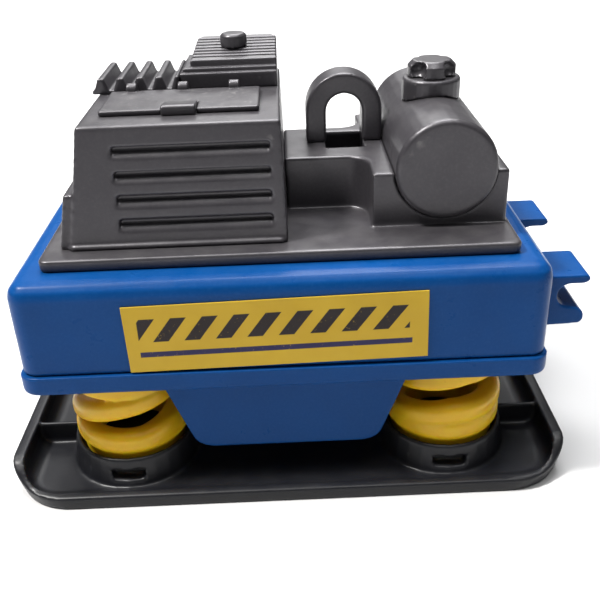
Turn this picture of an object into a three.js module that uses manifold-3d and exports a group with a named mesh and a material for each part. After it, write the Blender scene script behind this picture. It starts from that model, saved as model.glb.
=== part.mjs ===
// Toy vibratory plate compactor: a sprung upper body on a moulded base plate.
// Millimetres, +Z up. Origin: centre of the underside of the base plate. +X: handle-clip end.
import * as THREE from 'three';
import { mergeVertices } from 'three/addons/utils/BufferGeometryUtils.js';
import Module from 'manifold-3d';

const wasm = await Module();
wasm.setup();

// ---- Driving dimensions ------------------------------------------------------------------
const GAP = 0.3; // clearance between neighbouring pieces
const OVERLAP = 0.5; // how deep two solids that are joined reach into each other
const FAR = 100; // reach of a cutting solid that has to pass right through a piece

const BASE = {
  footHalfX: 60.7, footHalfY: 41.7, footCorner: 13.5,
  halfX: 61, halfY: 42, corner: 9.5, floorTop: 2.5,
  rimTop: 8.2, rimWidth: 2.7, lipTop: 3.1, lipWidth: 1.2,
  rimFlatY: 32, rimEndY: 41, pocketFillet: 2.4, ribY: 20.4, ribWidth: 0.9, ribTop: 7.8,
};
const CUP = {
  x: 35, y: 24, footRadius: 14.2, topRadius: 13.45, top: 9.5, bore: 12.45, seat: 6.6,
  slotWidth: 7, slotBottom: 4.2, slotTop: 6.7, slotDepth: 3.4, edge: 0.4, rootHeight: 1,
};
const SPRING = {
  bottom: 6.9, ringBottom: 9.8, ringTop: 15, topRingBottom: 23.8, top: 29.2,
  outer: 12.8, ringOuter: 12.7, footOuter: 11.5, width: 4.8, height: 5.2, round: 1.5,
  // [degrees of turn, height of the coil above the bottom ring]
  rise: [[0, 0], [100, 4.3], [250, 4.3], [340, 9.1], [400, 11], [480, 14]],
};
const BAND = {
  halfX: 54, halfY: 38.4, corner: 3.8, bottom: 27.4, top: 31.7, floorBottom: 29.5,
  wall: 1.3, edge: 0.8, socketBore: 13.1, socketWall: 1.2,
};
const SKIRT = {
  outerY: 36, wall: 2.2, topHalf: 26.4, bottomHalf: 19.2, bottom: 11.1, corner: 3.6,
  cornerLean: 1.1, cornerRise: 2.9,
};
const HOUSING = {
  halfX: 53.4, halfY: 37.7, corner: 3.6, bottom: 32, top: 51.85, wall: 2, topRound: 3,
};
const CLIP = {
  innerY: 9.25, outerY: 21.95, rootX: 53.7, tipX: 66.3, top: 41.6, bottom: 29.4,
  seatX: 62.4, seatZ: 36.8, seatRadius: 2.85, lowerTipX: 65.9, tipRound: 1,
};
const FLANGE = { minX: -47.4, maxX: 47.9, halfY: 31.4, corner: 1.6, bottom: 52.15, top: 54.3 };
const DECK = {
  minX: 0, maxX: 46.9, frontY: -20.9, rearY: 23, top: 65.8, wall: 2,
  pocketX: 19.5, pocketFrontY: -9, pocketRearY: 12.2, pocketCorner: 5,
  slotMinX: 10.9, slotMaxX: 19.5, slotMinY: -2.6, slotMaxY: 9, slotFloor: 2.5,
};
const HOOD = {
  bottom: 54.6, top: 78.5, leftBottomX: -41.6, leftTopX: -37.7, rightX: 1.8, rightTopX: 1.2,
  frontBottomY: -26.6, frontTopY: -24, rearBottomY: 24, rearTopY: 19.6, wall: 2.5,
  footFlare: 0.8,
};
const SIDE_BOX = { outerBottomX: -43.9, outerTopX: -41.9, top: 65.4, frontInset: 0.5, rearY: 18 };
const LOUVRE = {
  count: 4, topZ: 74.75, pitch: 4.83, height: 2.45, leftX: -31.6, rightX: -0.8, depth: 1.7,
  ledgeDepth: 0.8, ledgeRise: 1.0,
};
const HATCH = {
  minX: -34.4, maxX: -2.9, frontY: -17.4, rearY: -1.6, thickness: 0.8, corner: 0.6,
  knuckleX: [-30, -19.1, -8.3], knuckleWidth: 2, knuckleRadius: 1.2, knuckleRear: -0.55,
};
const LATCH = { minX: -21.9, maxX: -15.3, frontY: -18.4, rearY: -12.4, height: 1.7, round: 0.7 };
const HEAT_SINK = {
  minX: -38.9, maxX: -20.4, frontY: 0.3, rearY: 17, base: 0.6, ridgeHeight: 2.5,
  ridgeTop: 1.1, ridgeFoot: 3.0, firstRidgeX: -36.9, pitch: 4.15, ridges: 5,
};
const FILTER = {
  minX: -20.1, maxX: 0.8, frontY: 1.9, rearY: 18, bandHeight: 3.1,
  ledgeInset: 0.7, ledgeHeight: 1.0, bodyInset: 1.4, bodyLeftInset: 2.4,
  bodyFront: 84.4, bodyRear: 87, bodyTaper: 0.9, bodyCorner: 1.1,
  ribs: 8, ribGap: 0.6, ribDepth: 0.7,
};
const KNOB = { x: -8.55, y: 11.1, radius: 2.85, foot: 84, top: 88.5, edge: 0.5 };
const EYE = { x: 15.2, frontY: 0.9, rearY: 8, outer: 8.25, inner: 4.1, centreZ: 72.7 };
const TANK = {
  x: 34.1, z: 66.5, radius: 10.2, frontY: -22.5, rearY: 24.5, edge: 0.6, wall: 2,
  openHalfX: 3, openHalfY: 15,
};
const NECK = { x: 34, y: 0.4, radius: 6.15, foot: 71.5, top: 79.9, lip: 0.35 };
const CAP = { radius: 5.1, top: 83.5, edge: 1.1, scoops: 4, scoopRadius: 2.1, scoopOffset: 5 };
const LABEL = { minX: -31, maxX: 28.8, minZ: 32.7, maxZ: 47.6, thickness: 0.25, gap: 0.1, tilt: 1 };

const COLOURS = {
  base: '#2e2e32', blue: '#1f4a8f', grey: '#57555a', spring: '#d8b52c', label: '#d9b62b',
};

// ---- Solids ------------------------------------------------------------------------------
function solidOf(geometry) {
  const bare = geometry.clone();
  bare.deleteAttribute('normal');
  bare.deleteAttribute('uv');
  const merged = mergeVertices(bare, 1e-4);
  return new wasm.Manifold(new wasm.Mesh({
    numProp: 3,
    vertProperties: new Float32Array(merged.attributes.position.array),
    triVerts: new Uint32Array(merged.index.array),
  }));
}

function geometryOf(solid) {
  const mesh = solid.getMesh();
  const geometry = new THREE.BufferGeometry();
  geometry.setAttribute('position', new THREE.BufferAttribute(mesh.vertProperties, 3));
  geometry.setIndex(new THREE.BufferAttribute(mesh.triVerts, 1));
  const flat = geometry.toNonIndexed();
  flat.computeVertexNormals();
  return flat;
}

function join(first, ...others) {
  return others.reduce((whole, piece) => whole.add(piece), first);
}

function cut(first, ...others) {
  return others.reduce((whole, piece) => whole.subtract(piece), first);
}

// ---- Shapes ------------------------------------------------------------------------------
function roundedRectangle(minX, minY, maxX, maxY, radius) {
  const shape = new THREE.Shape();
  shape.moveTo(minX + radius, minY);
  shape.lineTo(maxX - radius, minY);
  shape.absarc(maxX - radius, minY + radius, radius, -Math.PI / 2, 0);
  shape.lineTo(maxX, maxY - radius);
  shape.absarc(maxX - radius, maxY - radius, radius, 0, Math.PI / 2);
  shape.lineTo(minX + radius, maxY);
  shape.absarc(minX + radius, maxY - radius, radius, Math.PI / 2, Math.PI);
  shape.lineTo(minX, minY + radius);
  shape.absarc(minX + radius, minY + radius, radius, Math.PI, 1.5 * Math.PI);
  return shape;
}

function polygon(points) {
  return new THREE.Shape(points.map(([x, y]) => new THREE.Vector2(x, y)));
}

function box(minX, minY, minZ, maxX, maxY, maxZ) {
  const geometry = new THREE.BoxGeometry(maxX - minX, maxY - minY, maxZ - minZ);
  geometry.translate((minX + maxX) / 2, (minY + maxY) / 2, (minZ + maxZ) / 2);
  return solidOf(geometry);
}

// A plan outline extruded from minZ to maxZ, with both ends rounded by `round`.
function slab(shape, minZ, maxZ, { round = 0, curveSegments = 5, bevelSegments = 2 } = {}) {
  const geometry = new THREE.ExtrudeGeometry(shape, {
    depth: maxZ - minZ - 2 * round,
    curveSegments,
    bevelEnabled: round > 0,
    bevelThickness: round,
    bevelSize: round,
    bevelOffset: -round,
    bevelSegments,
  });
  geometry.translate(0, 0, minZ + round);
  return solidOf(geometry);
}

// An outline in X and Z, extruded along Y from minY to maxY.
function extrudeAlongY(shape, minY, maxY, curveSegments = 5) {
  const geometry = new THREE.ExtrudeGeometry(shape, {
    depth: maxY - minY, bevelEnabled: false, curveSegments,
  });
  geometry.rotateX(Math.PI / 2);
  geometry.translate(0, maxY, 0);
  return solidOf(geometry);
}

// An outline in Y and Z, extruded along X from minX to maxX.
function extrudeAlongX(shape, minX, maxX, curveSegments = 5) {
  const geometry = new THREE.ExtrudeGeometry(shape, {
    depth: maxX - minX, bevelEnabled: false, curveSegments,
  });
  geometry.rotateZ(Math.PI / 2);
  geometry.rotateY(Math.PI / 2);
  geometry.translate(minX, 0, 0);
  return solidOf(geometry);
}

// A profile of [radius, z] points turned about a vertical axis through (x, y).
function turned(profile, x, y, segments = 28) {
  const points = profile.map(([radius, z]) => new THREE.Vector2(radius, z));
  const geometry = new THREE.LatheGeometry(points, segments);
  geometry.rotateX(Math.PI / 2);
  geometry.translate(x, y, 0);
  return solidOf(geometry);
}

function disc(radius, minZ, maxZ, x, y, segments = 28) {
  return turned([[0, minZ], [radius, minZ], [radius, maxZ], [0, maxZ]], x, y, segments);
}

// A cylinder lying along Y, its front and rear edges rounded off by `edge`.
function lyingCylinder(radius, minY, maxY, x, z, edge = 0, segments = 36) {
  const profile = edge > 0
    ? [[0, minY], [radius - edge, minY], [radius, minY + edge],
      [radius, maxY - edge], [radius - edge, maxY], [0, maxY]]
    : [[0, minY], [radius, minY], [radius, maxY], [0, maxY]];
  const points = profile.map(([r, y]) => new THREE.Vector2(r, y));
  const geometry = new THREE.LatheGeometry(points, segments);
  geometry.translate(x, 0, z);
  return solidOf(geometry);
}

// ---- Base plate --------------------------------------------------------------------------
// The tray's outside: rounder corners at the foot than at the rim. Every outline point lies
// on a corner arc, so the upper outline is the lower one with each arc moved and resized.
function taperedBlank() {
  const b = BASE;
  const foot = roundedRectangle(
    -b.footHalfX, -b.footHalfY, b.footHalfX, b.footHalfY, b.footCorner);
  const geometry = new THREE.ExtrudeGeometry(foot, {
    depth: b.rimTop, bevelEnabled: false, curveSegments: 7,
  });
  const points = geometry.attributes.position;
  for (let i = 0; i < points.count; i += 1) {
    if (points.getZ(i) > 0) {
      const sideX = Math.sign(points.getX(i));
      const sideY = Math.sign(points.getY(i));
      const alongX = Math.abs(points.getX(i)) - (b.footHalfX - b.footCorner);
      const alongY = Math.abs(points.getY(i)) - (b.footHalfY - b.footCorner);
      const scale = b.corner / b.footCorner;
      points.setX(i, sideX * (b.halfX - b.corner + alongX * scale));
      points.setY(i, sideY * (b.halfY - b.corner + alongY * scale));
    }
  }
  return solidOf(geometry);
}

function basePlate() {
  const blank = taperedBlank();
  const profile = new THREE.Shape();
  profile.moveTo(-FAR, -FAR);
  profile.lineTo(FAR, -FAR);
  profile.lineTo(FAR, BASE.lipTop);
  profile.lineTo(BASE.rimEndY, BASE.lipTop);
  const easeY = (BASE.rimEndY + BASE.rimFlatY) / 2;
  profile.bezierCurveTo(
    easeY, BASE.lipTop, easeY, BASE.rimTop, BASE.rimFlatY, BASE.rimTop);
  profile.lineTo(-BASE.rimFlatY, BASE.rimTop);
  profile.bezierCurveTo(
    -easeY, BASE.rimTop, -easeY, BASE.lipTop, -BASE.rimEndY, BASE.lipTop);
  profile.lineTo(-FAR, BASE.lipTop);
  const rimLine = extrudeAlongX(profile, -FAR, FAR);
  const pocketX = BASE.halfX - BASE.rimWidth;
  const pocketY = BASE.halfY - BASE.lipWidth;
  const pocket = slab(
    roundedRectangle(-pocketX, -pocketY, pocketX, pocketY, BASE.corner - BASE.lipWidth),
    BASE.floorTop, FAR, { round: BASE.pocketFillet });
  const tray = blank.intersect(rimLine).subtract(pocket);
  const ribs = [];
  const cups = [];
  const slots = [];
  const bores = [];
  for (const sideX of [-1, 1]) {
    for (const sideY of [-1, 1]) {
      const x = sideX * CUP.x;
      const y = sideY * CUP.y;
      cups.push(turned([
        [0, CUP.rootHeight], [CUP.footRadius, CUP.rootHeight],
        [CUP.footRadius, BASE.floorTop + CUP.edge], [CUP.topRadius, CUP.top - CUP.edge],
        [CUP.topRadius - CUP.edge, CUP.top], [0, CUP.top],
      ], x, y));
      bores.push(disc(CUP.bore, CUP.seat, FAR, x, y));
      const slotY = [y + sideY * (CUP.footRadius - CUP.slotDepth), y + sideY * (CUP.footRadius + 1)];
      slots.push(box(
        x - CUP.slotWidth / 2, Math.min(...slotY), CUP.slotBottom,
        x + CUP.slotWidth / 2, Math.max(...slotY), CUP.slotTop));
      const ribY = sideY * BASE.ribY;
      const ribX = [sideX * (CUP.x + CUP.topRadius - OVERLAP), sideX * (BASE.halfX - OVERLAP)];
      ribs.push(box(
        Math.min(...ribX), ribY - BASE.ribWidth / 2, CUP.rootHeight,
        Math.max(...ribX), ribY + BASE.ribWidth / 2, BASE.ribTop));
    }
  }
  return cut(join(tray, ...ribs, ...cups), ...bores, ...slots);
}

// ---- Coil spring -------------------------------------------------------------------------
// Height of the coil above the bottom ring after `degrees` of turn: it climbs on to the ring,
// rests on it, then crosses the open gap to the top ring.
function coilRise(degrees) {
  const next = Math.max(1, SPRING.rise.findIndex(([turn]) => turn >= degrees));
  const [turnA, riseA] = SPRING.rise[next - 1];
  const [turnB, riseB] = SPRING.rise[next];
  return riseA + (riseB - riseA) * (degrees - turnA) / (turnB - turnA);
}

// A closed end ring: bevelled outside edges and a plain bore.
function endRing(outline) {
  return turned([...outline, outline[0]], 0, 0, 22);
}

function springSolid(startAngle) {
  const s = SPRING;
  const inner = s.outer - s.width;
  const side = s.width / 2;
  const section = polygon([
    [-side, s.round / 2], [-side + s.round, 0], [side - s.round, 0], [side, s.round],
    [side, s.height - s.round], [side - s.round, s.height], [-side + s.round, s.height],
    [-side, s.height - s.round / 2],
  ]);
  const bar = new THREE.ExtrudeGeometry(section, { depth: 1, steps: 28, bevelEnabled: false });
  const points = bar.attributes.position;
  const openEnd = s.rise.at(-1)[0];
  for (let i = 0; i < points.count; i += 1) {
    const degrees = Math.min(points.getZ(i), 1) * openEnd;
    const angle = THREE.MathUtils.degToRad(startAngle + degrees);
    const radius = s.outer - side + points.getX(i);
    const z = s.ringBottom + coilRise(degrees) + points.getY(i);
    points.setXYZ(i, radius * Math.cos(angle), radius * Math.sin(angle), z);
  }
  // Wrapping the bar turns it inside out, so each triangle's winding is swapped back.
  for (let i = 0; i < points.count; i += 3) {
    const second = new THREE.Vector3().fromBufferAttribute(points, i + 1);
    const third = new THREE.Vector3().fromBufferAttribute(points, i + 2);
    points.setXYZ(i + 1, third.x, third.y, third.z);
    points.setXYZ(i + 2, second.x, second.y, second.z);
  }
  const lowerRing = endRing([
    [inner, s.bottom], [s.footOuter, s.bottom], [s.footOuter, s.ringBottom],
    [s.ringOuter, s.ringBottom + s.round / 2], [s.ringOuter, s.ringTop - s.round],
    [s.ringOuter - s.round, s.ringTop], [inner, s.ringTop],
  ]);
  const upperRing = endRing([
    [inner, s.topRingBottom], [s.outer - s.round, s.topRingBottom],
    [s.outer, s.topRingBottom + s.round], [s.outer, s.top], [inner, s.top],
  ]);
  return join(solidOf(bar), lowerRing, upperRing);
}

// ---- Lower housing: band, spring sockets and the two hanging skirts ------------------------
function skirt(side) {
  const half = SKIRT.topHalf;
  const low = SKIRT.bottomHalf;
  const r = SKIRT.corner;
  const shape = new THREE.Shape();
  shape.moveTo(-half, BAND.floorBottom + OVERLAP);
  shape.lineTo(-low - SKIRT.cornerLean, SKIRT.bottom + SKIRT.cornerRise);
  shape.quadraticCurveTo(-low, SKIRT.bottom, -low + r, SKIRT.bottom);
  shape.lineTo(low - r, SKIRT.bottom);
  shape.quadraticCurveTo(
    low, SKIRT.bottom, low + SKIRT.cornerLean, SKIRT.bottom + SKIRT.cornerRise);
  shape.lineTo(half, BAND.floorBottom + OVERLAP);
  const outer = side * SKIRT.outerY;
  const inner = side * (SKIRT.outerY - SKIRT.wall);
  return extrudeAlongY(shape, Math.min(outer, inner), Math.max(outer, inner));
}

function lowerHousing() {
  const outline = roundedRectangle(-BAND.halfX, -BAND.halfY, BAND.halfX, BAND.halfY, BAND.corner);
  const blank = slab(outline, BAND.bottom, BAND.top + 2 * BAND.edge, { round: BAND.edge })
    .subtract(box(-FAR, -FAR, BAND.top, FAR, FAR, FAR));
  const innerX = BAND.halfX - BAND.wall;
  const innerY = BAND.halfY - BAND.wall;
  const hollow = slab(
    roundedRectangle(-innerX, -innerY, innerX, innerY, BAND.corner - BAND.wall),
    BAND.bottom - 1, BAND.floorBottom);
  const sockets = [];
  for (const sideX of [-1, 1]) {
    for (const sideY of [-1, 1]) {
      const outer = BAND.socketBore + BAND.socketWall;
      sockets.push(turned([
        [BAND.socketBore, BAND.bottom + OVERLAP], [outer, BAND.bottom + OVERLAP],
        [outer, BAND.floorBottom + OVERLAP], [BAND.socketBore, BAND.floorBottom + OVERLAP],
        [BAND.socketBore, BAND.bottom + OVERLAP],
      ], sideX * CUP.x, sideY * CUP.y));
    }
  }
  const shell = join(blank.subtract(hollow), ...sockets.map(socket => socket.intersect(hollow)));
  return join(shell, skirt(-1), skirt(1));
}

// ---- Upper housing and handle clips --------------------------------------------------------
function upperHousing() {
  const h = HOUSING;
  const outline = roundedRectangle(-h.halfX, -h.halfY, h.halfX, h.halfY, h.corner);
  const blank = slab(outline, h.bottom - h.topRound, h.top, { round: h.topRound, bevelSegments: 3 })
    .subtract(box(-FAR, -FAR, -FAR, FAR, FAR, h.bottom));
  const innerX = h.halfX - h.wall;
  const innerY = h.halfY - h.wall;
  const hollow = slab(
    roundedRectangle(-innerX, -innerY, innerX, innerY, h.corner - h.wall),
    h.bottom - 1, h.top - h.wall);
  return blank.subtract(hollow);
}

function handleClip(side) {
  const c = CLIP;
  const r = c.tipRound;
  const throatTop = c.seatZ + c.seatRadius;
  const throatBottom = c.seatZ - c.seatRadius;
  const shape = new THREE.Shape();
  shape.moveTo(c.rootX, c.bottom);
  shape.lineTo(c.lowerTipX - 1.2, c.bottom + 0.4);
  shape.quadraticCurveTo(c.lowerTipX, c.bottom + 0.6, c.lowerTipX, c.bottom + 2.2);
  shape.quadraticCurveTo(c.lowerTipX - 0.2, c.bottom + 3.4, c.lowerTipX - 1.4, throatBottom - 0.4);
  shape.lineTo(c.seatX, throatBottom);
  shape.absarc(c.seatX, c.seatZ, c.seatRadius, -Math.PI / 2, -1.5 * Math.PI, true);
  shape.lineTo(c.tipX - 1.6, throatTop);
  shape.quadraticCurveTo(c.tipX, throatTop + 0.1, c.tipX, c.top - r);
  shape.absarc(c.tipX - r, c.top - r, r, 0, Math.PI / 2);
  shape.lineTo(c.rootX, c.top);
  const ends = [side * c.innerY, side * c.outerY];
  const clip = extrudeAlongY(shape, Math.min(...ends), Math.max(...ends), 6);
  const bandRelief = box(-FAR, -FAR, -FAR, BAND.halfX + GAP, FAR, BAND.top + GAP);
  return clip.subtract(bandRelief);
}

// ---- Engine cover --------------------------------------------------------------------------
function tankCutter() {
  return lyingCylinder(TANK.radius + GAP, -FAR, FAR, TANK.x, TANK.z);
}

function engineDeck() {
  const f = FLANGE;
  const d = DECK;
  const plate = slab(
    roundedRectangle(f.minX, -f.halfY, f.maxX, f.halfY, f.corner), f.bottom, f.top);
  const block = box(d.minX, d.frontY, f.top - OVERLAP, d.maxX, d.rearY, d.top);
  const frontPocket = slab(
    roundedRectangle(-FAR, -FAR, d.pocketX, d.pocketFrontY, d.pocketCorner), f.top, FAR);
  const rearPocket = slab(
    roundedRectangle(-FAR, d.pocketRearY, d.pocketX, FAR, d.pocketCorner), f.top, FAR);
  const slot = box(
    d.slotMinX, d.slotMinY, f.top + d.slotFloor, d.slotMaxX, d.slotMaxY, d.top + 1);
  const hoodRoom = hoodBody(-GAP, HOOD.bottom - GAP, HOOD.top);
  const tankHollow = box(
    d.pocketX + 2 * d.wall, d.frontY + d.wall, 0,
    d.maxX - d.wall, d.rearY - d.wall, TANK.z - TANK.radius - d.wall);
  return cut(
    join(plate, block), hoodRoom, frontPocket, rearPocket, tankCutter(), slot, tankHollow);
}

function hoodSideView(inset, bottom, top) {
  const h = HOOD;
  return polygon([
    [h.frontBottomY + inset, bottom], [h.rearBottomY - inset, bottom],
    [h.rearTopY - inset, top], [h.frontTopY + inset, top],
  ]);
}

// The hood: its front-view and side-view outlines, each extruded, and their common solid.
function hoodBody(inset, bottom, top) {
  const h = HOOD;
  const front = polygon([
    [h.leftBottomX + inset, bottom], [h.rightX - inset, bottom],
    [h.rightTopX - inset, top], [h.leftTopX + inset, top],
  ]);
  return extrudeAlongY(front, -FAR, FAR)
    .intersect(extrudeAlongX(hoodSideView(inset, bottom, top), -FAR, FAR));
}

// The small flare that runs round the hood where it meets the flange.
function hoodFoot() {
  const h = HOOD;
  const outline = roundedRectangle(
    h.leftBottomX - h.footFlare, h.frontBottomY - h.footFlare,
    h.rightX, h.rearBottomY + h.footFlare, 2 * h.footFlare);
  const flare = slab(outline, h.bottom - 2 * h.footFlare, h.bottom + h.footFlare, {
    round: h.footFlare, curveSegments: 3 });
  return flare.subtract(box(-FAR, -FAR, -FAR, FAR, FAR, h.bottom));
}

// One louvre: a rounded slot whose lower side slopes up and inwards as a ledge.
function louvreSlot(index) {
  const l = LOUVRE;
  const top = l.topZ - index * l.pitch;
  const foot = top - l.height;
  const slope = (HOOD.frontTopY - HOOD.frontBottomY) / (HOOD.top - HOOD.bottom);
  const faceY = HOOD.frontBottomY + slope * (foot - HOOD.bottom);
  const shape = roundedRectangle(l.leftX, foot, l.rightX, top, l.height / 3);
  const ledge = extrudeAlongX(polygon([
    [faceY, foot], [FAR, foot], [FAR, foot + l.ledgeRise],
    [faceY + l.ledgeDepth, foot + l.ledgeRise],
  ]), -FAR, FAR);
  return extrudeAlongY(shape, -FAR, faceY + l.depth, 3).subtract(ledge);
}

function engineHood() {
  const h = HOOD;
  const body = join(hoodBody(0, h.bottom, h.top), hoodFoot());
  const sideOutline = polygon([
    [SIDE_BOX.outerBottomX, h.bottom], [h.leftTopX, h.bottom],
    [h.leftTopX, SIDE_BOX.top], [SIDE_BOX.outerTopX, SIDE_BOX.top],
  ]);
  const sideBox = extrudeAlongY(sideOutline, -FAR, SIDE_BOX.rearY)
    .intersect(extrudeAlongX(hoodSideView(SIDE_BOX.frontInset, h.bottom, h.top), -FAR, FAR));
  const hollow = hoodBody(h.wall, h.bottom, h.top - h.wall);
  const slots = Array.from({ length: LOUVRE.count }, (_, index) => louvreSlot(index));
  return cut(join(body, sideBox), hollow, ...slots);
}

function serviceHatch() {
  const h = HATCH;
  const low = HOOD.top + GAP;
  const high = low + h.thickness;
  const panel = slab(
    roundedRectangle(h.minX, h.frontY, h.maxX, h.rearY, h.corner), low, high, { curveSegments: 2 });
  const knuckles = h.knuckleX.map(x => {
    const pin = new THREE.CylinderGeometry(h.knuckleRadius, h.knuckleRadius, h.knuckleWidth, 14);
    pin.rotateZ(Math.PI / 2);
    pin.translate(x, h.knuckleRear - h.knuckleRadius, low + h.knuckleRadius);
    const foot = box(
      x - h.knuckleWidth / 2, h.rearY - OVERLAP, low,
      x + h.knuckleWidth / 2, h.knuckleRear - h.knuckleRadius, low + h.knuckleRadius);
    return solidOf(pin).add(foot);
  });
  const latchGap = box(
    LATCH.minX - GAP, -FAR, 0, LATCH.maxX + GAP, LATCH.rearY + GAP, FAR);
  return join(panel.subtract(latchGap), ...knuckles);
}

function hatchLatch() {
  const l = LATCH;
  const low = HOOD.top + GAP;
  const shape = new THREE.Shape();
  shape.moveTo(l.frontY, low);
  shape.lineTo(l.rearY, low);
  shape.lineTo(l.rearY, low + l.height * 0.6);
  shape.lineTo(l.frontY + l.round, low + l.height);
  shape.quadraticCurveTo(l.frontY, low + l.height, l.frontY, low + l.height - l.round);
  return extrudeAlongX(shape, l.minX, l.maxX, 4);
}

function heatSink() {
  const s = HEAT_SINK;
  const low = HOOD.top + GAP;
  const valley = low + s.base;
  const crest = valley + s.ridgeHeight;
  const lastX = s.firstRidgeX + (s.ridges - 1) * s.pitch;
  const points = [[s.minX, low], [lastX + s.ridgeFoot, low], [lastX + s.ridgeFoot, valley]];
  for (let index = s.ridges - 1; index >= 0; index -= 1) {
    const x = s.firstRidgeX + index * s.pitch;
    points.push([x + s.ridgeFoot / 2, valley], [x + s.ridgeTop / 2, crest]);
    points.push([x - s.ridgeTop / 2, crest], [x - s.ridgeFoot / 2, valley]);
  }
  points.push([s.minX, valley]);
  // The last ridge is cut off where the air filter's side stands.
  const room = box(s.minX, s.frontY, low, s.maxX, s.rearY, crest);
  return extrudeAlongY(polygon(points), s.frontY, s.rearY).intersect(room);
}

// The air filter's sloping block, without its ribs, `lift` higher than it stands.
function filterBlock(lift) {
  const f = FILTER;
  const foot = HOOD.top + GAP + f.bandHeight;
  const left = f.minX + f.bodyLeftInset;
  const front = f.frontY + f.bodyInset;
  const rear = f.rearY - f.bodyInset;
  const outline = polygon([
    [front, foot], [rear, foot], [rear, f.bodyRear + lift], [front, f.bodyFront + lift],
  ]);
  const plan = polygon([
    [left, front], [f.maxX, front], [f.maxX, rear - f.bodyCorner],
    [f.maxX - f.bodyCorner, rear], [left + f.bodyTaper + f.bodyCorner, rear],
    [left + f.bodyTaper, rear - f.bodyCorner],
  ]);
  return extrudeAlongX(outline, left, f.maxX).intersect(slab(plan, foot, f.bodyRear + lift));
}

function airFilter() {
  const f = FILTER;
  const low = HOOD.top + GAP;
  const bandTop = low + f.bandHeight;
  const band = box(f.minX, f.frontY, low, f.maxX, f.rearY, bandTop);
  const ledge = box(
    f.minX + f.ledgeInset, f.frontY + f.ledgeInset, bandTop - OVERLAP,
    f.maxX, f.rearY - f.ledgeInset, bandTop + f.ledgeHeight);
  const bodyFrontY = f.frontY + f.bodyInset;
  const bodyLength = f.rearY - f.bodyInset - bodyFrontY;
  const slope = (f.bodyRear - f.bodyFront) / bodyLength;
  const pitch = (bodyLength - f.ribGap) / f.ribs;
  const grooves = Array.from({ length: f.ribs - 1 }, (_, index) => {
    const y = bodyFrontY + (index + 1) * pitch;
    const z = f.bodyFront + slope * (y - bodyFrontY) - f.ribDepth;
    return box(-FAR, y, z, FAR, y + f.ribGap, FAR);
  });
  return cut(join(band, ledge, filterBlock(0)), ...grooves);
}

function filterKnob() {
  const k = KNOB;
  const knob = turned([
    [0, k.foot], [k.radius, k.foot], [k.radius, k.top - k.edge],
    [k.radius - k.edge, k.top], [0, k.top],
  ], k.x, k.y, 28);
  return knob.subtract(filterBlock(GAP));
}

function liftingEye() {
  const e = EYE;
  const foot = DECK.top + GAP;
  const shape = new THREE.Shape();
  shape.moveTo(e.x - e.outer, foot);
  shape.lineTo(e.x - e.inner, foot);
  shape.lineTo(e.x - e.inner, e.centreZ);
  shape.absarc(e.x, e.centreZ, e.inner, Math.PI, 0, true);
  shape.lineTo(e.x + e.inner, foot);
  shape.lineTo(e.x + e.outer, foot);
  shape.lineTo(e.x + e.outer, e.centreZ);
  shape.absarc(e.x, e.centreZ, e.outer, 0, Math.PI);
  return extrudeAlongY(shape, e.frontY, e.rearY, 14).subtract(tankCutter());
}

// ---- Fuel tank, filler neck and cap --------------------------------------------------------
function fuelTank() {
  const t = TANK;
  const shell = lyingCylinder(t.radius, t.frontY, t.rearY, t.x, t.z, t.edge);
  const inside = lyingCylinder(
    t.radius - t.wall, t.frontY + t.wall, t.rearY - t.wall, t.x, t.z, 0, 16);
  const opening = box(
    t.x - t.openHalfX, -t.openHalfY, 0, t.x + t.openHalfX, t.openHalfY, t.z);
  return cut(shell, inside, opening);
}

function fillerNeck() {
  const n = NECK;
  const body = turned([
    [0, n.foot], [n.radius, n.foot], [n.radius, n.top - n.lip],
    [n.radius - n.lip, n.top], [0, n.top],
  ], n.x, n.y, 28);
  return body.subtract(tankCutter());
}

function fuelCap() {
  const c = CAP;
  const foot = NECK.top + GAP;
  const body = turned([
    [0, foot], [c.radius, foot], [c.radius, c.top - c.edge],
    [c.radius - c.edge, c.top], [0, c.top],
  ], NECK.x, NECK.y, 36);
  const scoops = Array.from({ length: c.scoops }, (_, index) => {
    const angle = Math.PI / 4 + index * 2 * Math.PI / c.scoops;
    const scoop = new THREE.SphereGeometry(c.scoopRadius, 14, 9);
    scoop.translate(
      NECK.x + c.scoopOffset * Math.cos(angle), NECK.y + c.scoopOffset * Math.sin(angle),
      (foot + c.top) / 2);
    return solidOf(scoop);
  });
  return cut(body, ...scoops);
}

// ---- Front label ---------------------------------------------------------------------------
function frontLabel() {
  const l = LABEL;
  const face = -HOUSING.halfY - l.gap;
  const geometry = new THREE.BoxGeometry(l.maxX - l.minX, l.thickness, l.maxZ - l.minZ);
  geometry.rotateY(-THREE.MathUtils.degToRad(l.tilt));
  geometry.translate((l.minX + l.maxX) / 2, face - l.thickness / 2, (l.minZ + l.maxZ) / 2);
  return solidOf(geometry);
}

// ---- Scene graph ---------------------------------------------------------------------------
const looks = {
  base: { color: COLOURS.base, roughness: 0.5, metalness: 0 },
  blue: { color: COLOURS.blue, roughness: 0.35, metalness: 0 },
  grey: { color: COLOURS.grey, roughness: 0.4, metalness: 0.3 },
  spring: { color: COLOURS.spring, roughness: 0.4, metalness: 0 },
  label: { color: COLOURS.label, roughness: 0.5, metalness: 0 },
};

const model = new THREE.Group();

function addPiece(name, solid, look, x = 0, y = 0) {
  const mesh = new THREE.Mesh(geometryOf(solid), new THREE.MeshStandardMaterial(looks[look]));
  mesh.name = name;
  mesh.position.set(x, y, 0);
  model.add(mesh);
}

addPiece('base_plate', basePlate(), 'base');

const springStart = { left_front: 290, right_front: 170, left_rear: 110, right_rear: 350 };
for (const [corner, start] of Object.entries(springStart)) {
  const x = corner.startsWith('left') ? -CUP.x : CUP.x;
  const y = corner.endsWith('front') ? -CUP.y : CUP.y;
  addPiece(`spring_${corner}`, springSolid(start), 'spring', x, y);
}

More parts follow.
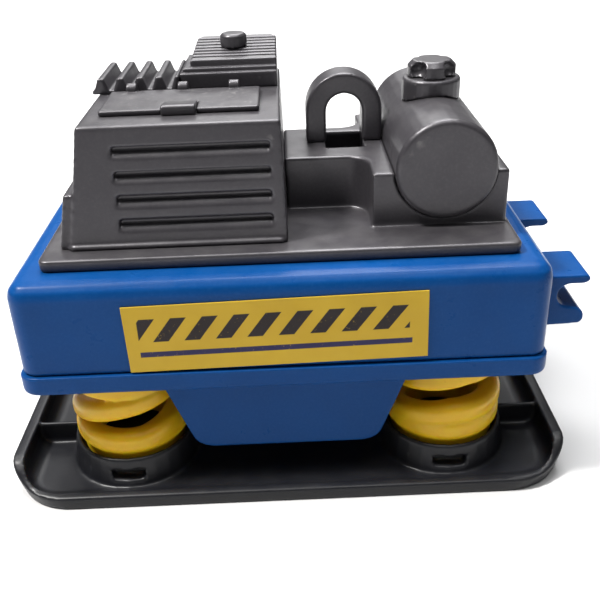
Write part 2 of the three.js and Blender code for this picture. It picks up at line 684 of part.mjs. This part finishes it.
addPiece('lower_housing', lowerHousing(), 'blue');
addPiece('upper_housing', upperHousing(), 'blue');
addPiece('handle_clip_front', handleClip(-1), 'blue');
addPiece('handle_clip_rear', handleClip(1), 'blue');
addPiece('engine_deck', engineDeck(), 'grey');
addPiece('engine_hood', engineHood(), 'grey');
addPiece('service_hatch', serviceHatch(), 'grey');
addPiece('hatch_latch', hatchLatch(), 'grey');
addPiece('heat_sink', heatSink(), 'grey');
addPiece('air_filter', airFilter(), 'grey');
addPiece('filter_knob', filterKnob(), 'grey');
addPiece('lifting_eye', liftingEye(), 'grey');
addPiece('fuel_tank', fuelTank(), 'grey');
addPiece('filler_neck', fillerNeck(), 'grey');
addPiece('fuel_cap', fuelCap(), 'grey');
addPiece('front_label', frontLabel(), 'label');

export default model;
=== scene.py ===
# Toy vibratory plate compactor: looks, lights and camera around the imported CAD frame.
import math

import bmesh
import bpy
from mathutils import Matrix, Vector


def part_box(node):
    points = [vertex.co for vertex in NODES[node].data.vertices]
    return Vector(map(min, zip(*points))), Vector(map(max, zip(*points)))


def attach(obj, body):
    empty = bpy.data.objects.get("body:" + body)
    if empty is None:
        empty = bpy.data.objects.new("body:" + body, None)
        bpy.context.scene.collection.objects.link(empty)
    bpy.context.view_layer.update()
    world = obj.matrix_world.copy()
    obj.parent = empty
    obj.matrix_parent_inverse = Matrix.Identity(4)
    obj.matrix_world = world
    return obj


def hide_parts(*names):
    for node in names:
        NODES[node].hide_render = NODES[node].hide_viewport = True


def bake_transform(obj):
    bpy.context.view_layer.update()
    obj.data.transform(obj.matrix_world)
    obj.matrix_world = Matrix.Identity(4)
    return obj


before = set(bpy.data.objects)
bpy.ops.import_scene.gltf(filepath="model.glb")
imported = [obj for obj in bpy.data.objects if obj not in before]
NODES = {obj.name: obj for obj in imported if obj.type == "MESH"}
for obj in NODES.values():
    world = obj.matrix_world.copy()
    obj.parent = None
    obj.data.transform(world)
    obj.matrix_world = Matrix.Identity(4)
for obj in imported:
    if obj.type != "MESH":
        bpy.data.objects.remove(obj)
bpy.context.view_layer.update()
MM = 0.001
WELD_REACH = 0.002 * MM


# ---- Camera ------------------------------------------------------------------------------
CAMERA_TURN = (-0.462, 28.485, -2.162)  # degrees: to the left, down, and about the line of sight
CAMERA_PLACE = (2.548, -175.651, 121.881)  # mm
SENSOR_WIDTH, LENS = 36, 48.76  # mm


def make_camera():
    yaw, pitch, roll = (math.radians(degrees) for degrees in CAMERA_TURN)
    forward = Vector((
        -math.sin(yaw) * math.cos(pitch), math.cos(yaw) * math.cos(pitch), -math.sin(pitch)))
    level = Vector((math.cos(yaw), math.sin(yaw), 0))
    raised = level.cross(forward)
    right = math.cos(roll) * level + math.sin(roll) * raised
    up = math.cos(roll) * raised - math.sin(roll) * level
    data = bpy.data.cameras.new("camera")
    data.sensor_width = SENSOR_WIDTH
    data.lens = LENS
    data.clip_start, data.clip_end = 0.01, 20
    camera = bpy.data.objects.new("camera", data)
    bpy.context.scene.collection.objects.link(camera)
    turn = Matrix((right, up, -forward)).transposed().to_4x4()
    camera.matrix_world = Matrix.Translation(Vector(CAMERA_PLACE) * MM) @ turn
    bpy.context.scene.camera = camera


# ---- Material helpers ----------------------------------------------------------------------
class Look:
    """A node material, built a node at a time."""

    def __init__(self, name):
        self.material = bpy.data.materials.new(name)
        self.material.use_nodes = True
        self.tree = self.material.node_tree
        self.tree.nodes.clear()
        self.output = self.tree.nodes.new("ShaderNodeOutputMaterial")
        self.shader = self.tree.nodes.new("ShaderNodeBsdfPrincipled")
        self.link(self.shader.outputs[0], self.output.inputs[0])
        self.place = self.node("TexCoord").outputs["Object"]

    def link(self, a, b):
        self.tree.links.new(a, b)

    def feed(self, socket, value):
        """Links `value` to the socket if it is an output, and else sets it there."""
        if isinstance(value, bpy.types.NodeSocket):
            self.link(value, socket)
        else:
            socket.default_value = value

    def node(self, kind, inputs=None, **settings):
        made = self.tree.nodes.new("ShaderNode" + kind)
        for key, value in settings.items():
            setattr(made, key, value)
        for key, value in (inputs or {}).items():
            self.feed(made.inputs[key], value)
        return made

    def math(self, operation, a, b=0.0):
        return self.node("Math", {0: a, 1: b}, operation=operation).outputs[0]

    def noise(self, size, detail=3.0, rough=0.55, stretch=None):
        """Noise from 0 to 1 whose blobs are about `size` metres wide."""
        place = self.place
        if stretch:
            place = self.node("Mapping", {"Vector": place, "Scale": stretch}).outputs[0]
        made = self.node(
            "TexNoise", {"Vector": place, "Scale": 1 / size, "Detail": detail, "Roughness": rough})
        return made.outputs["Fac"]

    def span(self, value, low, high, to_low=0.0, to_high=1.0):
        """`value` from low...high brought to to_low...to_high, and held at both ends."""
        made = self.node("MapRange", {
            "Value": value, "From Min": low, "From Max": high, "To Min": to_low, "To Max": to_high})
        return made.outputs[0]

    def mix(self, factor, a, b):
        """Colour `a` where the factor is 0 and `b` where it is 1."""
        return self.node("Mix", {0: factor, 6: a, 7: b}, data_type="RGBA").outputs[2]

    def facing_up(self, low=0.35, high=0.95):
        """1 on level faces that look up and 0 on upright ones."""
        normal = self.node("NewGeometry").outputs["Normal"]
        height = self.node("SeparateXYZ", {0: normal}).outputs["Z"]
        return self.span(height, low, high)

    def ridges(self, low=0.54, high=0.64):
        """About 1 on the outward-curving edges of a finely meshed piece and 0 on its flats."""
        return self.span(self.node("NewGeometry").outputs["Pointiness"], low, high)

    def bump(self, *layers):
        """Layers of (height, strength, depth in metres), the first one under the others."""
        normal = None
        for height, strength, depth in layers:
            inputs = {"Height": height, "Strength": strength, "Distance": depth}
            if normal is not None:
                inputs["Normal"] = normal
            normal = self.node("Bump", inputs).outputs[0]
        self.link(normal, self.shader.inputs["Normal"])

    def set(self, **values):
        for key, value in values.items():
            self.feed(self.shader.inputs[key.replace("_", " ").title()], value)


def rgb(red, green, blue):
    return (red, green, blue, 1.0)


# ---- Materials: sizes of noise are in metres -------------------------------------------------
def moulded_plastic(name, colour, darker, lighter, rough, grain, dust_and_top_light, wear_and_edge_highlight, metallic=0.0,
                    specular=0.5):
    """Injection-moulded plastic: drifting colour, scuffs, a fine grain, upward faces lightened by
    dust and painted top light, and edges paled by wear and a painted edge highlight.
    """
    look = Look(name)
    drift = look.noise(0.014, 4)
    tone = look.mix(look.span(drift, 0.32, 0.68), darker, colour)
    fine = look.noise(0.0006, 2)
    tone = look.mix(look.math("MULTIPLY", look.span(fine, 0.45, 0.8), 0.07), tone, lighter)
    # Lighter on upward faces: dust, and painted top light where the overhead light falls.
    dust_and_top_light_mask = look.math("MULTIPLY", look.facing_up(), look.span(look.noise(0.004, 5), 0.35, 0.75))
    tone = look.mix(look.math("MULTIPLY", dust_and_top_light_mask, dust_and_top_light), tone, lighter)
    # Paler on rounded edges: wear, and a painted edge highlight.
    wear_and_edge_highlight_mask = look.math(
        "MULTIPLY", look.ridges(), look.span(look.noise(0.0025, 4), 0.35, 0.62))
    tone = look.mix(look.math("MULTIPLY", wear_and_edge_highlight_mask, wear_and_edge_highlight), tone, lighter)
    scratches = look.span(look.noise(0.0012, 2, 0.5, (1.0, 14.0, 9.0)), 0.60, 0.72)
    patches = look.span(look.noise(0.02, 3), 0.5, 0.62)
    scratches = look.math("MULTIPLY", scratches, patches)
    blotches = look.span(look.noise(0.006, 4), 0.3, 0.7, rough - 0.06, rough + 0.07)
    look.set(
        base_color=tone, metallic=metallic,
        roughness=look.math("ADD", blotches, look.math("MULTIPLY", scratches, 0.12)))
    look.shader.inputs["Specular IOR Level"].default_value = specular
    look.bump(
        (look.noise(0.02, 2), 0.25, 0.0004), (look.noise(0.0005, 3, 0.6), grain, 0.00005),
        (scratches, 0.3, 0.00003))
    return look.material


def spring_plastic():
    """Yellow translucent plastic: it glows orange where it is thin or in shade."""
    look = Look("spring_yellow")
    tone = look.mix(
        look.span(look.noise(0.006, 4), 0.3, 0.7), rgb(0.60, 0.345, 0.003), rgb(0.66, 0.42, 0.005))
    specks = look.span(look.noise(0.0008, 2), 0.62, 0.75)
    tone = look.mix(look.math("MULTIPLY", specks, 0.3), tone, rgb(0.46, 0.26, 0.008))
    scuffs = look.span(look.noise(0.0015, 3, 0.6, (1.0, 1.0, 8.0)), 0.55, 0.7)
    look.set(
        base_color=tone, subsurface_weight=0.45, subsurface_scale=0.003,
        roughness=look.math("ADD", look.span(look.noise(0.003, 3), 0.3, 0.7, 0.36, 0.48),
                            look.math("MULTIPLY", scuffs, 0.15)))
    look.shader.inputs["Subsurface Radius"].default_value = (1.0, 0.35, 0.03)
    look.shader.inputs["Specular IOR Level"].default_value = 0.35
    look.bump((look.noise(0.0035, 2), 0.3, 0.0002), (look.noise(0.0004, 3), 0.2, 0.00003))
    return look.material


# The sticker's pattern, in mm from its centre. The tilt is in degrees, bar_lean is the sideways
# shift for a rise of 1, and bar_share is the printed part of each bar's pitch.
PRINT = {
    "tilt": 1.0, "bar_pitch": 6.2, "bar_lean": 0.75, "bar_share": (0.12, 0.62), "bar_shift": 31,
    "bars_up": (-0.6, 4.6), "bars_along": (-27.3, 26.2),
    "rule_up": (-4.05, -2.85), "rule_along": (-27.3, 26.8), "soft": 0.06,
}


def label_print():
    """A yellow sticker printed with generic slanted warning bars over a plain rule."""
    look = Look("label_print")
    low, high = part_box("front_label")
    centre = (low + high) / 2
    split = look.node("SeparateXYZ", {0: look.place})
    along = look.math("SUBTRACT", split.outputs["X"], centre.x)
    up = look.math("SUBTRACT", look.math("SUBTRACT", split.outputs["Z"], centre.z),
                   look.math("MULTIPLY", along, math.sin(math.radians(PRINT["tilt"]))))

    def inside(value, limits, soft):
        rise = look.span(value, limits[0] - soft, limits[0] + soft)
        fall = look.span(value, limits[1] - soft, limits[1] + soft, 1.0, 0.0)
        return look.math("MULTIPLY", rise, fall)

    def area(row, column):
        return look.math("MULTIPLY", *(
            inside(value, [edge * MM for edge in PRINT[name]], PRINT["soft"] * MM)
            for value, name in ((up, row), (along, column))))

    sheared = look.math("SUBTRACT", along, look.math("MULTIPLY", up, PRINT["bar_lean"]))
    turns = look.math(
        "DIVIDE", look.math("ADD", sheared, PRINT["bar_shift"] * MM), PRINT["bar_pitch"] * MM)
    stripes = inside(look.math("FRACT", turns), PRINT["bar_share"], 0.008)
    bars = look.math("MULTIPLY", stripes, area("bars_up", "bars_along"))
    rule = area("rule_up", "rule_along")
    paper = look.mix(look.span(look.noise(0.01, 4), 0.3, 0.7), rgb(0.44, 0.28, 0.013),
                     rgb(0.49, 0.32, 0.018))
    worn = look.math("SUBTRACT", 1.0, look.math(
        "MULTIPLY", look.span(look.noise(0.0006, 3), 0.64, 0.76), 0.35))
    tone = look.mix(look.math("MULTIPLY", bars, worn), paper, rgb(0.011, 0.006, 0.006))
    tone = look.mix(look.math("MULTIPLY", rule, worn), tone, rgb(0.014, 0.011, 0.055))
    look.set(base_color=tone, roughness=look.span(look.noise(0.004, 4), 0.3, 0.7, 0.42, 0.56))
    look.shader.inputs["Specular IOR Level"].default_value = 0.25
    look.bump((look.noise(0.012, 2), 0.3, 0.0002), (look.noise(0.0004, 3), 0.15, 0.00003))
    return look.material


# ---- The sticker: the CAD node with its edges rounded -------------------------------------
def smoothing_group(sharp_angle=38):
    """Geometry nodes that drop the imported normals and shade smooth up to `sharp_angle`."""
    group = bpy.data.node_groups.new("smooth_by_angle", "GeometryNodeTree")
    group.interface.new_socket("Geometry", in_out="INPUT", socket_type="NodeSocketGeometry")
    group.interface.new_socket("Geometry", in_out="OUTPUT", socket_type="NodeSocketGeometry")
    source = group.nodes.new("NodeGroupInput")
    target = group.nodes.new("NodeGroupOutput")
    strip = group.nodes.new("GeometryNodeRemoveAttribute")
    strip.inputs["Name"].default_value = "custom_normal"
    faces = group.nodes.new("GeometryNodeSetShadeSmooth")
    edges = group.nodes.new("GeometryNodeSetShadeSmooth")
    edges.domain = "EDGE"
    edges.inputs["Shade Smooth"].default_value = False
    angle = group.nodes.new("GeometryNodeInputMeshEdgeAngle")
    sharp = group.nodes.new("FunctionNodeCompare")
    sharp.operation = "GREATER_THAN"
    sharp.inputs[1].default_value = math.radians(sharp_angle)
    group.links.new(source.outputs[0], strip.inputs[0])
    group.links.new(strip.outputs[0], faces.inputs["Geometry"])
    group.links.new(faces.outputs[0], edges.inputs["Geometry"])
    group.links.new(angle.outputs["Unsigned Angle"], sharp.inputs[0])
    group.links.new(sharp.outputs[0], edges.inputs["Selection"])
    group.links.new(edges.outputs[0], target.inputs[0])
    return group


def dress_label(material, edge=0.06, edge_segments=3, edge_angle=32, flat_angle=0.6):
    """Rounds the sticker's edges by `edge` mm and smooths its shading."""
    label = NODES["front_label"]
    label.data.materials.clear()
    label.data.materials.append(material)
    weld = label.modifiers.new("weld", "WELD")
    weld.merge_threshold = WELD_REACH
    flats = label.modifiers.new("flats", "DECIMATE")
    flats.decimate_type = "DISSOLVE"
    flats.angle_limit = math.radians(flat_angle)
    bevel = label.modifiers.new("bevel", "BEVEL")
    bevel.width = edge * MM
    bevel.segments = edge_segments
    bevel.limit_method = "ANGLE"
    bevel.angle_limit = math.radians(edge_angle)
    bevel.use_clamp_overlap = True
    bevel.miter_outer = "MITER_ARC"
    smooth = label.modifiers.new("smooth", "NODES")
    smooth.node_group = smoothing_group()
    normals = label.modifiers.new("normals", "WEIGHTED_NORMAL")
    normals.keep_sharp = True


# ---- Coil springs: a coil between two rings, over a narrower foot, in mm ---------------------
SPRING = {
    "bottom": 6.9, "ring_bottom": 9.8, "ring_top": 15.0, "top_ring": 23.8, "top": 27.95,
    "outer": 12.8, "ring_outer": 12.7, "foot_outer": 11.5, "width": 4.8, "height": 5.2,
    "round": 1.9, "top_round": 1.5, "foot_round": 0.4, "foot_overlap": 1.5,
    "taper": 0.03, "taper_bottom": 23.3, "taper_height": 2,
}
# (degrees of turn, height of the coil above the bottom ring)
COIL_RISE = [(0, 0.0), (100, 4.3), (250, 4.3), (340, 9.1), (400, 11.0), (480, 14.0)]
COIL_STEPS, RING_STEPS = 120, 72
# Where each coil starts on its bottom ring, in degrees.
COIL_STARTS = {"left_front": 290, "right_front": 170, "left_rear": 110, "right_rear": 350}


def coil_rise(degrees):
    for (turn_a, rise_a), (turn_b, rise_b) in zip(COIL_RISE, COIL_RISE[1:]):
        if degrees <= turn_b:
            return rise_a + (rise_b - rise_a) * (degrees - turn_a) / (turn_b - turn_a)
    return COIL_RISE[-1][1]


def rounded_section(width, height, radius, steps=5):
    """Points of a rounded rectangle, centred across and standing on 0."""
    points = []
    centres = [(1, height - radius, 0), (-1, height - radius, 90), (-1, radius, 180),
               (1, radius, 270)]
    for side, up, start in centres:
        for index in range(steps + 1):
            angle = math.radians(start + 90 * index / steps)
            points.append((
                side * (width / 2 - radius) + radius * math.cos(angle),
                up + radius * math.sin(angle)))
    return points


def swept(rows, closed):
    """A tube mesh through `rows`, each one the section's points placed in space, in mm."""
    count = len(rows[0])
    verts = [co for row in rows for co in row]
    faces = []
    last = len(rows) if closed else len(rows) - 1
    for i in range(last):
        a, b = i * count, ((i + 1) % len(rows)) * count
        for j in range(count):
            k = (j + 1) % count
            faces.append((a + j, a + k, b + k, b + j))
    if not closed:
        faces.append(tuple(range(count))[::-1])
        faces.append(tuple(range((len(rows) - 1) * count, len(rows) * count)))
    mesh = bpy.data.meshes.new("swept")
    mesh.from_pydata([Vector(co) * MM for co in verts], [], faces)
    made = bmesh.new()
    made.from_mesh(mesh)
    bmesh.ops.recalc_face_normals(made, faces=made.faces)
    made.to_mesh(mesh)
    made.free()
    return mesh


def around(section, centre, steps, height_at, degrees=360.0, start=0.0):
    """`section` carried about the Z axis, its middle `centre` mm from the axis."""
    rows = []
    closed = degrees == 360.0
    for i in range(steps if closed else steps + 1):
        turn = degrees * i / steps
        angle = math.radians(start + turn)
        base = height_at(turn)
        rows.append([
            ((centre + r) * math.cos(angle), (centre + r) * math.sin(angle), base + z)
            for r, z in section])
    return swept(rows, closed)


def spring_mesh(start):
    """A spring about the Z axis whose coil leaves the bottom ring `start` degrees round."""
    s = SPRING
    middle = s["outer"] - s["width"] / 2
    inner = s["outer"] - s["width"]
    coil = around(
        rounded_section(s["width"], s["height"], s["round"]), middle, COIL_STEPS,
        lambda turn: s["ring_bottom"] + coil_rise(turn), COIL_RISE[-1][0], start)
    low = around(
        rounded_section(s["ring_outer"] - inner, s["ring_top"] - s["ring_bottom"], s["round"]),
        (s["ring_outer"] + inner) / 2, RING_STEPS, lambda turn: s["ring_bottom"])
    foot_height = s["ring_bottom"] - s["bottom"] + s["foot_overlap"]
    foot = around(
        rounded_section(s["foot_outer"] - inner, foot_height, s["foot_round"]),
        (s["foot_outer"] + inner) / 2, RING_STEPS, lambda turn: s["bottom"])
    high = around(
        rounded_section(s["width"], s["top"] - s["top_ring"], s["top_round"]), middle,
        RING_STEPS, lambda turn: s["top_ring"])
    joined = bmesh.new()
    for mesh in (coil, low, foot, high):
        joined.from_mesh(mesh)
    # The top stays clear of the body's underside and band when the body rocks.
    for vert in joined.verts:
        rise = min(max(vert.co.z / MM - s["taper_bottom"], 0) / s["taper_height"], 1)
        vert.co.x *= 1 - s["taper"] * rise
        vert.co.y *= 1 - s["taper"] * rise
        vert.co.z = min(vert.co.z, s["top"] * MM)
    whole = bpy.data.meshes.new("spring")
    joined.to_mesh(whole)
    joined.free()
    return whole


# ---- Pieces meshed afresh ------------------------------------------------------------------
def fused(mesh, name, voxel, smoothing, keep=1.0, swell=0.0):
    """The overlapping shells of `mesh` as one closed skin, with soft joins between them.

    `voxel` and `swell`, how far the skin grows outwards, are in mm, and `keep` is the share of
    the faces that stay.
    """
    piece = bpy.data.objects.new(name, mesh)
    bpy.context.scene.collection.objects.link(piece)
    weld = piece.modifiers.new("weld", "WELD")
    weld.merge_threshold = WELD_REACH
    remesh = piece.modifiers.new("remesh", "REMESH")
    remesh.mode = "VOXEL"
    remesh.voxel_size = voxel * MM
    smooth = piece.modifiers.new("smooth", "SMOOTH")
    smooth.factor = 0.5
    smooth.iterations = smoothing
    if swell:
        grow = piece.modifiers.new("grow", "DISPLACE")
        grow.mid_level = 0
        grow.strength = swell * MM
    if keep < 1:
        thin = piece.modifiers.new("thin", "DECIMATE")
        thin.ratio = keep
    graph = bpy.context.evaluated_depsgraph_get()
    final = bpy.data.meshes.new_from_object(piece.evaluated_get(graph))
    piece.modifiers.clear()
    piece.data = final
    final.polygons.foreach_set("use_smooth", [True] * len(final.polygons))
    return piece


def softened(node, name, body, slot, material, voxel, smoothing, keep, swell):
    """A finely meshed stand-in for a CAD node, every edge and inside corner rounded off."""
    piece = fused(NODES[node].data.copy(), name, voxel, smoothing, keep, swell)
    piece.data.materials.clear()
    piece.data.materials.append(material)
    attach(piece, body)
    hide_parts(node)


def make_springs(material, voxel=0.3, smoothing=6):
    for corner, start in COIL_STARTS.items():
        node = "spring_" + corner
        low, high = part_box(node)
        piece = fused(spring_mesh(start), "coil_" + corner, voxel, smoothing)
        centre = (low + high) / 2
        piece.data.transform(Matrix.Translation((centre.x, centre.y, 0)))
        piece.data.materials.clear()
        piece.data.materials.append(material)
        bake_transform(piece)
        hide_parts(node)


# ---- Lights and floor ------------------------------------------------------------------------
# Name, place in metres, width in metres, power in watts, colour. All of them aim at LIGHT_AIM.
LIGHTS = [
    ("key", (-0.50, -0.10, 0.92), 0.14, 18.0, (1.0, 0.985, 0.96)),
    ("front_top", (0.14, -0.30, 1.00), 0.30, 2.5, (1, 1, 1)),
    ("top", (0.05, 0.35, 1.10), 0.70, 19.0, (1, 1, 1)),
    ("rear", (0.00, 1.20, 0.95), 0.90, 7.0, (1, 1, 1)),
]
LIGHT_AIM = (0, 0, 0.04)
FLOOR_REACH, FLOOR_DROP = 3.0, 0.00005  # metres
SKY_STRENGTH = 0.26


def area_light(name, place, size, power, colour):
    data = bpy.data.lights.new(name, "AREA")
    data.shape = "DISK"
    data.size = size
    data.energy = power
    data.color = colour
    light = bpy.data.objects.new(name, data)
    bpy.context.scene.collection.objects.link(light)
    light.location = place
    light.rotation_mode = "QUATERNION"
    light.rotation_quaternion = (Vector(LIGHT_AIM) - Vector(place)).to_track_quat("-Z", "Y")


def make_floor():
    mesh = bpy.data.meshes.new("floor")
    corners = [
        (x * FLOOR_REACH, y * FLOOR_REACH, -FLOOR_DROP)
        for x, y in ((-1, -1), (1, -1), (1, 1), (-1, 1))]
    mesh.from_pydata(corners, [], [(0, 1, 2, 3)])
    floor = bpy.data.objects.new("floor", mesh)
    bpy.context.scene.collection.objects.link(floor)
    look = Look("floor_white")
    tone = look.mix(look.noise(0.3, 3), rgb(0.54, 0.54, 0.545), rgb(0.57, 0.57, 0.57))
    look.set(base_color=tone, roughness=0.9)
    look.shader.inputs["Specular IOR Level"].default_value = 0.0
    mesh.materials.append(look.material)


def make_world():
    """A dim sky, darker below and towards the level and pale overhead."""
    world = bpy.data.worlds.new("studio")
    bpy.context.scene.world = world
    world.use_nodes = True
    tree = world.node_tree
    tree.nodes.clear()
    place = tree.nodes.new("ShaderNodeTexCoord")
    split = tree.nodes.new("ShaderNodeSeparateXYZ")
    ramp = tree.nodes.new("ShaderNodeValToRGB")
    back = tree.nodes.new("ShaderNodeBackground")
    out = tree.nodes.new("ShaderNodeOutputWorld")
    tree.links.new(place.outputs["Generated"], split.inputs[0])
    tree.links.new(split.outputs["Z"], ramp.inputs[0])
    tree.links.new(ramp.outputs[0], back.inputs[0])
    tree.links.new(back.outputs[0], out.inputs[0])
    stops = ramp.color_ramp.elements
    stops[0].position, stops[0].color = 0.0, rgb(0.30, 0.31, 0.33)
    stops[1].position, stops[1].color = 0.75, rgb(0.95, 0.95, 0.94)
    back.inputs[1].default_value = SKY_STRENGTH


# ---- The scene -------------------------------------------------------------------------------
make_camera()
make_world()
make_floor()
for light in LIGHTS:
    area_light(*light)

blue = moulded_plastic(
    "blue_moulded", rgb(0.0008, 0.043, 0.170), rgb(0.0007, 0.038, 0.153), rgb(0.06, 0.16, 0.36),
    0.32, grain=0.18, dust_and_top_light=0.06, wear_and_edge_highlight=0.35, specular=0.11)
grey = moulded_plastic(
    "grey_moulded", rgb(0.051, 0.048, 0.054), rgb(0.045, 0.042, 0.048), rgb(0.19, 0.185, 0.18),
    0.34, metallic=0.38, grain=0.28, dust_and_top_light=0.16, wear_and_edge_highlight=0.5)
black = moulded_plastic(
    "base_moulded", rgb(0.0070, 0.0073, 0.0100), rgb(0.0056, 0.0059, 0.0078),
    rgb(0.05, 0.05, 0.052), 0.38, grain=0.35, dust_and_top_light=0.12, wear_and_edge_highlight=0.45, specular=0.33)
yellow = spring_plastic()
print_film = label_print()

# CAD node, piece, body, material slot, material, voxel mm, smoothing rounds, share of faces kept,
# swell mm
SOFT_PIECES = [
    ("base_plate", "base_tray", "base", "base_plastic", black, 0.4, 7, 0.4, 0.0),
    ("lower_housing", "blue_lower", "body", "blue_plastic", blue, 0.32, 4, 0.4, 0.03),
    ("upper_housing", "blue_upper", "body", "blue_plastic", blue, 0.36, 4, 0.3, 0.03),
    ("handle_clip_front", "bar_clip_front", "body", "blue_plastic", blue, 0.25, 5, 0.5, 0.04),
    ("handle_clip_rear", "bar_clip_rear", "body", "blue_plastic", blue, 0.25, 5, 0.5, 0.04),
    ("engine_deck", "cover_deck", "body", "grey_plastic", grey, 0.32, 8, 0.4, 0.12),
    ("engine_hood", "cover_hood", "body", "grey_plastic", grey, 0.28, 11, 0.35, 0.12),
    ("service_hatch", "cover_hatch", "body", "grey_plastic", grey, 0.16, 6, 0.4, 0.12),
    ("hatch_latch", "cover_latch", "body", "grey_plastic", grey, 0.16, 5, 0.6, 0.12),
    ("heat_sink", "cover_fins", "body", "grey_plastic", grey, 0.2, 9, 0.5, 0.12),
    ("air_filter", "cover_filter", "body", "grey_plastic", grey, 0.18, 7, 0.4, 0.10),
    ("filter_knob", "cover_knob", "body", "grey_plastic", grey, 0.18, 5, 0.6, 0.10),
    ("lifting_eye", "cover_eye", "body", "grey_plastic", grey, 0.25, 14, 0.6, 0.14),
    ("fuel_tank", "cover_tank", "body", "grey_plastic", grey, 0.32, 4, 0.4, 0.14),
    ("filler_neck", "cover_neck", "body", "grey_plastic", grey, 0.22, 4, 0.5, 0.12),
    ("fuel_cap", "cover_cap", "body", "grey_plastic", grey, 0.16, 4, 0.6, 0.06),
]
for soft_piece in SOFT_PIECES:
    softened(*soft_piece)
dress_label(print_film)
make_springs(yellow)

bpy.context.scene.view_settings.view_transform = "Standard"
